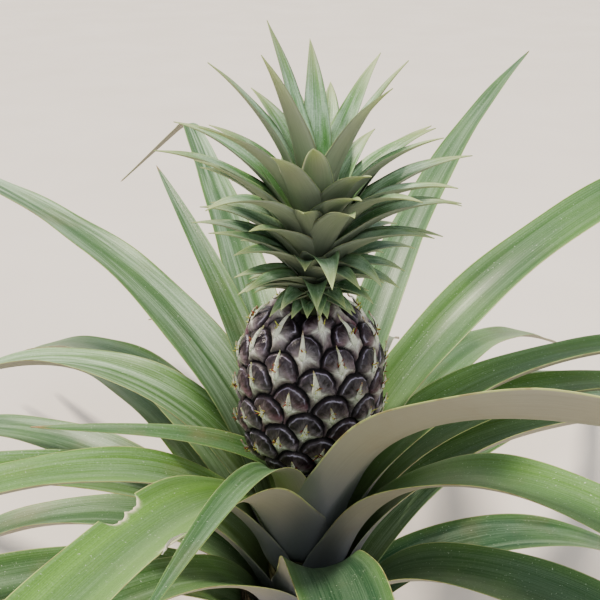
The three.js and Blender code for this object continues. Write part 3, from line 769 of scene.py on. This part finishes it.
# Fruit skin
# The fruit is many small fruits grown together. Each shows as one eye of a spiral lattice: a
# waxy purple-grey dome with a near-black groove round it and the white star of its bract on it.
fruit_bottom, fruit_height, fruit_radius = 290.3, 150.0, 56.5
fruit_fullness, fruit_roundness = 3, 2.2
eye_count, eye_first_turn = 88, 28
eye_reach, eye_rise, eye_ease, eye_sunk = 15.4, 5.2, 4.6, 1.6
rim_height, rim_place, rim_width = 0.4, 0.8, 0.07
cap_radius, groove_depth, groove_from = 14.8, 1.8, 0.92
star_middle, star_side, star_up, star_down, star_power = -3.5, 19.0, 11.0, 17.0, 0.62
star_ridge, star_bow, skin_roughness = 1.0, 0.012, 0.3
foot_reach, cap_unevenness, uneven_pace = 1.6, 0.35, 0.42


def barrel_radius(share):
    """A barrel: the radius falls off with the third power of the distance from the middle."""
    drawn = np.abs(2 * share - 1) ** fruit_fullness
    return fruit_radius * np.clip(1 - drawn, 0, None) ** (1 / fruit_roundness)


pole_share, skin_rows, skin_sides = 0.012, 222, 420
profile_share = 0.5 - 0.5 * np.cos(np.linspace(0, np.pi, 2001))
profile_radius = barrel_radius(profile_share)
profile_height = fruit_bottom + fruit_height * profile_share
slants = np.hypot(np.diff(profile_radius), np.diff(profile_height))
profile_arc = np.insert(np.cumsum(slants), 0, 0)
profile_out = np.gradient(profile_height, profile_arc)
profile_up = -np.gradient(profile_radius, profile_arc)


def on_barrel(arc, turn, lift):
    """A place on the barrel from the length along its profile and the turn about its axis, lifted
    along the slope's own outward direction."""
    radius = np.interp(arc, profile_arc, profile_radius)
    height = np.interp(arc, profile_arc, profile_height)
    out = np.interp(arc, profile_arc, profile_out)
    up = np.interp(arc, profile_arc, profile_up)
    r = radius + lift * out
    return np.stack([r * np.cos(turn), r * np.sin(turn), height + lift * up], -1)


# Each eye takes an equal share of the skin, a golden turn on from the eye below
rings_area = slants * (profile_radius[1:] + profile_radius[:-1])
area = np.insert(np.cumsum(rings_area), 0, 0)
eye_arc = np.interp((np.arange(eye_count) + 0.5) / eye_count * area[-1], area, profile_arc)
eye_turn = np.radians(eye_first_turn + np.arange(eye_count) * golden_turn)
eye_centre = on_barrel(eye_arc, eye_turn, 0.0)
eye_round = np.stack([-np.sin(eye_turn), np.cos(eye_turn), 0 * eye_turn], -1)
eye_out = np.interp(eye_arc, profile_arc, profile_out)
eye_up = np.interp(eye_arc, profile_arc, profile_up)
eye_normal = np.stack([eye_out * np.cos(eye_turn), eye_out * np.sin(eye_turn), eye_up], -1)
eye_upward = np.cross(eye_normal, eye_round)


def dome(edge, upward):
    """The height of an eye from its nearness to the edge of its cell, 0 to 1: it falls with
    1 - edge ^ ease, and a low rim runs inside the edge of its upper half."""
    rim = rim_height * np.exp(-((edge - rim_place) / rim_width) ** 2) * np.clip(upward / 6, 0, 1)
    return eye_rise * (1 - edge ** eye_ease) + rim - eye_sunk


def cell_places(bare):
    """For places on the bare barrel: the eye, the place in its frame, and the nearness to the edge
    of its cell. An eye is a round cap that lies over the feet of the eyes above it, so a place
    belongs to the lowest eye whose cap reaches it. It is near the edge close to its own cap's rim,
    or to the rim of a cap that cuts its foot. Two sines, a slow and a quick one, shift the places
    first, so that no cap is quite round."""
    slow, quick = np.sin(bare[:, [1, 2, 0]] * uneven_pace), np.sin(bare[:, [2, 0, 1]])
    bare = bare + cap_unevenness * (slow + 0.6 * quick)
    square = (bare ** 2).sum(1)[:, None] + (eye_centre ** 2).sum(1) - 2 * bare @ eye_centre.T
    away = np.sqrt(np.clip(square, 0, None))
    upward = bare @ eye_upward.T - (eye_centre * eye_upward).sum(1)
    within = away < cap_radius
    lowest = np.where(within, upward, -1000.0).argmax(1)
    held = np.where(within.any(1), lowest, (away + 0.6 * upward).argmin(1))
    row = np.arange(len(bare))
    y = upward[row, held]
    cuts = np.where(upward > y[:, None] + 0.01, away - cap_radius, 1000.0).min(1)
    cuts = np.clip(cuts, 0, None)
    x = ((bare - eye_centre[held]) * eye_round[held]).sum(1)
    below = np.clip(-y / cap_radius, 0, 1)
    rim = away[row, held] / (cap_radius * (1 + (foot_reach - 1) * below))
    return held, x, y, np.clip(np.maximum(rim, 1 - cuts / cap_radius), 0, 1)


def star(x, y):
    """The white star of a bract at the foot of an eye: 0 at its middle and 1 at its outline, the
    sum of a power below 1 of the shares of its reach, so that its sides are hollow."""
    down = y - star_middle + star_bow * x ** 2
    reach = np.where(down < 0, star_down, star_up)
    return (np.abs(x) / star_side) ** star_power + (np.abs(down) / reach) ** star_power


def eye_lift(nearest, x, y, edge):
    """How far the skin stands out: the dome of the eye, less a groove along the edge of the cell,
    a low ridge under the star, and a little roughness."""
    groove = np.clip((edge - groove_from) / (1 - groove_from), 0, 1) ** 1.5
    ridge = star_ridge * np.clip(1.15 - star(x, y), 0, 0.8)
    rough = skin_roughness * np.sin(x * 1.1 + nearest) * np.sin(y * 0.9 + 2.1 * nearest)
    return dome(edge, y) - groove_depth * groove + ridge + rough


def fruit_skin(rows, sides):
    """The barrel, lifted by its eyes."""
    arc = np.linspace(profile_arc[-1] * pole_share, profile_arc[-1] * (1 - pole_share), rows)
    turn = np.linspace(0, 2 * np.pi, sides, endpoint=False)
    arc, turn = np.meshgrid(arc, turn, indexing="ij")
    nearest, x, y, edge = cell_places(on_barrel(arc, turn, 0.0).reshape(-1, 3))
    lift = eye_lift(nearest, x, y, edge)
    rings = on_barrel(arc, turn, lift.reshape(arc.shape))
    shape = loft(rings, turn / np.pi, np.linspace(0, 1, rows), 0.0)
    looks = {"eye": np.stack([x / eye_reach, y / eye_reach, nearest * 0.37], -1), "edge": edge,
             "star": np.clip(star(x, y), 0, 2)}
    return shape, looks


mottle_scale, eye_gloss, groove_dullness, glint_place, star_fibres = 210, 0.34, 0.8, 0.81, 9.0
eye_skin, tree, shader = finish_material("fruit_skin", roughness=eye_gloss, specular=0.55)
x, y, mark = three_of(tree, "eye")
edge, starry = one_of(tree, "edge"), one_of(tree, "star")
place = place_of(tree)
mottle = noise(tree, place, mottle_scale, 4, 0.6)
ragged = plus(tree, edge, times(tree, minus(tree, mottle, 0.5), 0.18))

# The skin: mottled purple-grey, rosy or bluish from eye to eye, darker in the upper half of each eye,
# partly its own tone and partly painted shade that deepens towards its groove
colour = blend(tree, spread(tree, mottle, 0.38, 0.68), "#2c242a", "#776c76")
rosy = spread(tree, noise(tree, combine(tree, mark, 0.5, 0.5), 2.3, 1), 0.45, 0.65, 0.0, 0.55)
colour = blend(tree, rosy, colour, "#74404f")
# Painted shade, over the eye's own darker tone: the upper half of each eye darkened, more towards its
# groove
upper = spread(tree, y, -0.05, 0.3)
shade = times(tree, upper, spread(tree, ragged, 0.15, 0.6, 0.3, 0.85))
colour = blend(tree, shade, colour, "#251a23")
from_glint = maths(tree, "ABSOLUTE", minus(tree, ragged, glint_place))
glint = minus(tree, 1.0, spread(tree, from_glint, 0.0, 0.05))
glint = times(tree, glint, spread(tree, noise(tree, place, 90, 2), 0.38, 0.6, 0.1, 0.8))
colour = blend(tree, times(tree, glint, spread(tree, y, -0.05, 0.25)), colour, "#a79fb4")

# The star: whitish fibres that run out from its middle, and fade into the skin
turn = times(tree, maths(tree, "ARCTAN2", plus(tree, y, 0.23), x), star_fibres)
fibres = noise(tree, combine(tree, turn, times(tree, starry, 1.5), mark), 1.0, 3, 0.6)
faded = plus(tree, starry, times(tree, minus(tree, fibres, 0.5), 0.9))
faded = plus(tree, faded, times(tree, minus(tree, mottle, 0.5), 0.5))
white = blend(tree, spread(tree, fibres, 0.35, 0.65), "#97938d", "#f2f2e8")
colour = blend(tree, spread(tree, faded, 0.8, 1.4, 0.6, 0.0), colour, "#857b7b")
colour = blend(tree, spread(tree, faded, 0.4, 0.92, 1.0, 0.0), colour, white)
arch = times(tree, spread(tree, ragged, 0.88, 0.94), spread(tree, y, -0.1, 0.15))
seam = maths(tree, "MAXIMUM", arch, spread(tree, ragged, 0.9, 1.0))
colour = blend(tree, seam, colour, "#140e13")
tree.links.new(colour, shader.inputs["Base Color"])
dull = spread(tree, edge, 0.8, 0.95, eye_gloss, groove_dullness)
tree.links.new(dull, shader.inputs["Roughness"])
link_bump(tree, shader, plus(tree, mottle, times(tree, fibres, 0.4)), 0.0012, 0.8)

shape, looks = fruit_skin(skin_rows, skin_sides)
piece("fruit_eyes", leaning(shape), eye_skin, ["fruit"], looks)

# Fruit bracts
# The dry bract of each flower ends in a slender spike, which springs from the middle of the star
# and lifts off the eye. The upper bracts are longer.
bract_seed, bare_eyes, bract_sides = 21, 2, 7
bract_knots = [0.0, 0.1, 0.25, 0.45, 0.7, 0.9, 1.0]
bract_widths = [1.6, 3.2, 2.9, 2.1, 1.3, 0.7, 0.1]
bract_foot, bract_length, bract_longer = -6.5, 16.0, 8.5
bract_bow, bract_keel, bract_half_thickness, bract_sunk = 2.6, 0.9, 0.35, 0.8
bract_lift, bract_lift_longer, bract_lift_varied = 2.2, 3.4, 1.8


def bract(number, draw):
    """A spike on one eye. Its half width follows the knots from its foot to its tip. It lies on
    the skin at its foot and lifts off with a power of its length."""
    top = float(np.clip((number - 0.52 * eye_count) / (0.36 * eye_count), 0, 1))
    v = np.linspace(0, 1, 13)
    size = draw.uniform(0.8, 1.12)
    up = (bract_foot + v * (bract_length + bract_longer * top)) * size
    half = np.interp(v, bract_knots, bract_widths) * size * draw.uniform(0.85, 1.1)
    even = np.linspace(-1, 1, bract_sides)
    u, side = there_and_back(even), there_and_back(1.0 * (np.abs(even) < 1), -1)
    bow = draw.uniform(-bract_bow, bract_bow)
    x = half[:, None] * u + (bow * v ** 2)[:, None]
    y = up[:, None] + 0 * x
    radius = np.maximum(np.interp(eye_arc[number] + y, profile_arc, profile_radius), 6)
    turn = eye_turn[number] + x / radius
    bare = on_barrel(eye_arc[number] + y, turn, 0.0)
    skin = eye_lift(*cell_places(bare.reshape(-1, 3))).reshape(x.shape)
    rooted = np.clip(1 - v / 0.16, 0, 1)[:, None]
    lift = (np.maximum(skin, 1.0) + bract_keel * (1 - np.abs(u)) + side * bract_half_thickness
            - bract_sunk * rooted)
    stand = bract_lift + bract_lift_longer * top + draw.uniform(0, bract_lift_varied)
    rings = on_barrel(eye_arc[number] + y, turn, lift + v[:, None] ** 1.6 * stand)
    around = np.broadcast_to(around_section(u, bract_sides), x.shape)
    points, faces, grain = loft(rings, around, v, draw.uniform(0, 80))
    return points, [face[::-1] for face in faces], grain


bract_skin, tree, shader = finish_material("bract_skin", roughness=0.55, specular=0.4)
grain = three_of(tree, "grain")
lines = lines_of(tree, grain, 15, 1.2)
place = place_of(tree)
mottle = noise(tree, place, 230, 3, 0.6)
colour = blend(tree, lines, "#c2c4b2", "#e9eadc")
freckle = spread(tree, noise(tree, place, 420, 3, 0.6), 0.52, 0.66, 0.0, 0.5)
colour = blend(tree, freckle, colour, "#7d7276")
tipped = spread(tree, grain[1], 0.7, 1.0, 0.0, 0.8)
tip_colour = blend(tree, spread(tree, noise(tree, place, 30, 1), 0.4, 0.6), "#c0c483", "#9a6a48")
colour = blend(tree, tipped, colour, tip_colour)
tree.links.new(colour, shader.inputs["Base Color"])
link_bump(tree, shader, plus(tree, lines, mottle), 0.0005, 0.6)

draw = np.random.default_rng(bract_seed)
bracts = join([bract(number, draw) for number in range(bare_eyes, eye_count - bare_eyes)])
piece("fruit_bracts", leaning(bracts), bract_skin)

# Dried flowers
# A withered tuft of the flower is left on each eye: thin dry ends that break off short, from
# yellow-green to red-brown.
tuft_seed, tuft_bare_eyes, tuft_stand, tuft_width = 33, 4, 4.6, 0.75
tuft_slant, tuft_tip, tuft_tip_lift = 0.6, 0.75, 0.72
tuft_shares = np.array([0, 0.5, 0.85])


def withered_tuft(number, draw):
    """A few thin three-sided spikes that leave one spot on the eye in random directions."""
    spikes = []
    for _ in range(draw.integers(4, 9)):
        start_x, start_y = draw.uniform(-2.4, 2.4), draw.uniform(-1.0, 3.5)
        aim_x, aim_y, long = draw.uniform(-1, 1), draw.uniform(-0.4, 1), draw.uniform(3.0, 6.5)
        v = tuft_shares
        corner = np.radians([90, 210, 330])
        width = (tuft_width * (1 - 0.6 * v))[:, None]
        x = start_x + (aim_x * v * long * tuft_slant)[:, None] + width * np.cos(corner)
        y = start_y + (aim_y * v * long * tuft_slant)[:, None] + width * np.sin(corner)
        lift = tuft_stand + (v * long * 0.62)[:, None] + 0 * x
        radius = max(float(np.interp(eye_arc[number], profile_arc, profile_radius)), 6)
        rings = on_barrel(eye_arc[number] + y, eye_turn[number] + x / radius, lift)
        tip = on_barrel(eye_arc[number] + start_y + aim_y * long * tuft_tip,
                        eye_turn[number] + (start_x + aim_x * long * tuft_tip) / radius,
                        tuft_stand + long * tuft_tip_lift)
        around = np.broadcast_to(np.array([0, 0.67, 1.33]), (3, 3))
        points, faces, grain = loft(rings, around, v, draw.uniform(0, 1), tip)
        spikes.append((points, [face[::-1] for face in faces], grain))
    return join(spikes)


withered, tree, shader = finish_material("withered_flower", roughness=0.7, specular=0.3)
mixed = blend(tree, spread(tree, three_of(tree, "grain")[2], 0.4, 0.5), "#8a3a2c", "#c5c76c")
browned = spread(tree, noise(tree, place_of(tree), 300, 2), 0.45, 0.7)
tree.links.new(blend(tree, browned, mixed, "#6b4a2c"), shader.inputs["Base Color"])
draw = np.random.default_rng(tuft_seed)
tufts = join([withered_tuft(number, draw)
              for number in range(tuft_bare_eyes, eye_count - tuft_bare_eyes)])
piece("dried_flowers", leaning(tufts), withered)

# Crown
# A short leafy shoot grows on from the fruit's top. Its leaves stand close round it in a spiral and
# curl away at their tips: the lowest are short and curl over, the inner ones long, pale at the heart.
crown_bottom = 440.6
crown_leaves, crown_first_turn = 96, 46.3
crown_knots = [0, 0.25, 0.5, 0.75, 0.88, 1]
crown_rise = [30, 48, 60, 68, 78, 86]
crown_droop = [66, 66, 60, 54, 46, 28]
crown_long = [36, 92, 132, 152, 158, 158]
crown_wide = [19, 25, 28, 28, 26, 22]
crown_crowding, crown_seed = 1.7, 52767
crown_margin, crown_height, crown_curl, crown_channel = 2, 46, 1.5, 0.3
crown_thickness, crown_wave, crown_steps, crown_last_ring = 1.9, 0.05, 120, 0.992
crown_rings, crown_half_sides, crown_widest = 24, 5, 0.3


def crown_leaf(index, share):
    """A leaf whose slope falls with a power of the share of its length, from a rise and a droop
    that change up the shoot. Widest about a third of the way, a trough at its foot, thin at its
    margins, tapering late on the inner leaves."""
    draw = np.random.default_rng(crown_seed + index)
    rise, droop, long, wide = (np.interp(share, crown_knots, values) for values in (
        crown_rise, crown_droop, crown_long, crown_wide))
    rise, droop = rise + draw.uniform(-6, 6), droop * draw.uniform(0.75, 1.2)
    long = long * draw.uniform(0.8, 1.1)
    sway = math.radians(draw.uniform(-12, 12))
    turn = math.radians(crown_first_turn + index * golden_turn + draw.uniform(-9, 9))
    fine = np.linspace(0, 1, crown_steps + 1)
    middle = (fine[1:] + fine[:-1]) / 2
    bearing = turn + sway * middle ** 2
    steps = heading_of(np.radians(rise - droop * middle ** crown_curl), bearing) * long / crown_steps
    root = np.array([0, 0, crown_bottom + crown_margin + share * (crown_height - 2 * crown_margin)])
    line = np.vstack([root, root + np.cumsum(steps, axis=0)])
    s = 1 - (1 - np.linspace(0, crown_last_ring, crown_rings)) ** 1.15
    place = np.stack([np.interp(s, fine, line[:, axis]) for axis in range(3)], -1)
    tilt = np.radians(rise - droop * s ** crown_curl)
    bearing = turn + sway * s ** 2
    across = np.stack([np.sin(bearing), -np.cos(bearing), 0 * s], -1)
    over = np.cross(across, heading_of(tilt, bearing))
    swell = 0.8 + 0.2 * np.sin(np.pi / 2 * np.minimum(s / crown_widest, 1))
    taper = 1 - np.clip((s - crown_widest) / (1 - crown_widest), 0, 1) ** (1.3 + 0.9 * share)
    half = wide / 2 * swell * taper
    even = np.linspace(-1, 1, 2 * crown_half_sides + 1)
    u = there_and_back(even)
    skin = there_and_back(np.sqrt(np.clip(1 - np.abs(even) ** 3, 0, 1)), -1)
    channel = crown_channel + 0.45 * (1 - s)[:, None]
    thick = (crown_thickness * (1 - 0.6 * s))[:, None]
    wave = crown_wave * np.abs(u) ** 3 * np.sin(s * long / 9 + draw.uniform(0, 6))[:, None]
    lift = half[:, None] * (channel * u ** 2 + wave) + skin * thick / 2
    rings = (place[:, None] + across[:, None] * (half[:, None] * u)[..., None]
             + over[:, None] * lift[..., None])
    around = np.broadcast_to(around_section(u, len(even)), (crown_rings, len(u)))
    shape = loft(rings, around, s, draw.uniform(0, 60), line[-1])
    inner = np.clip((share - 0.3) / 0.5, 0, 1)
    # The look: green rises from the outer leaves to the heart, partly the leaves' own tone and partly
    # painted shade on the outer leaves; bloom rises towards the heart
    look = [0.1 + 0.85 * inner + draw.uniform(-0.1, 0.1), 0.45 + 0.5 * inner, 0.0]
    return shape, np.tile(look, (len(shape[0]), 1))


crown_skin = leaf_material(
    "crown_leaf", 0.4,
    dict(dark="#41614b", light="#7dab64", deep="#35553e", fresh="#7aa866", bloom_and_sheen="#c6dac4",
         under="#87907c", under_line="#a3aa96", under_warm="#928f7c", under_root="#5a6656",
         root="#9cc04a", margin="#b5c58c", tip="#97a268", tip_line="#bcc797"),
    0.4, 0.74)
shapes, looks = zip(*(crown_leaf(index, (index / (crown_leaves - 1)) ** crown_crowding)
                      for index in range(crown_leaves)))
piece("crown_leaves", leaning(join(shapes)), crown_skin, ["crown"],
      {"look": np.concatenate(looks)})

# Crown core
# The short green shoot that the crown's leaves spring from, seen only as dark chinks between the
# lowest of them. It is sunk a little into the fruit's top.
core_sunk, core_end, core_sides, core_scar = 3, 4, 40, 0.5
core_steps, core_radii = [0, 17, 44], [16, 17, 4]
core_heights = np.linspace(-core_sunk, crown_height - core_end, 40)
core_radius = np.interp(core_heights, core_steps, core_radii)
column = ringed_column(crown_bottom + core_heights, core_radius, core_sides, core_scar, 4)
core_skin, tree, shader = finish_material("crown_core", roughness=0.7)
place = place_of(tree)
colour = blend(tree, noise(tree, place, 160, 3, 0.6), "#2f3a28", "#5c6443")
tree.links.new(colour, shader.inputs["Base Color"])
link_bump(tree, shader, noise(tree, place, 300, 2), 0.0006, 0.6)
piece("crown_core", leaning(column), core_skin)
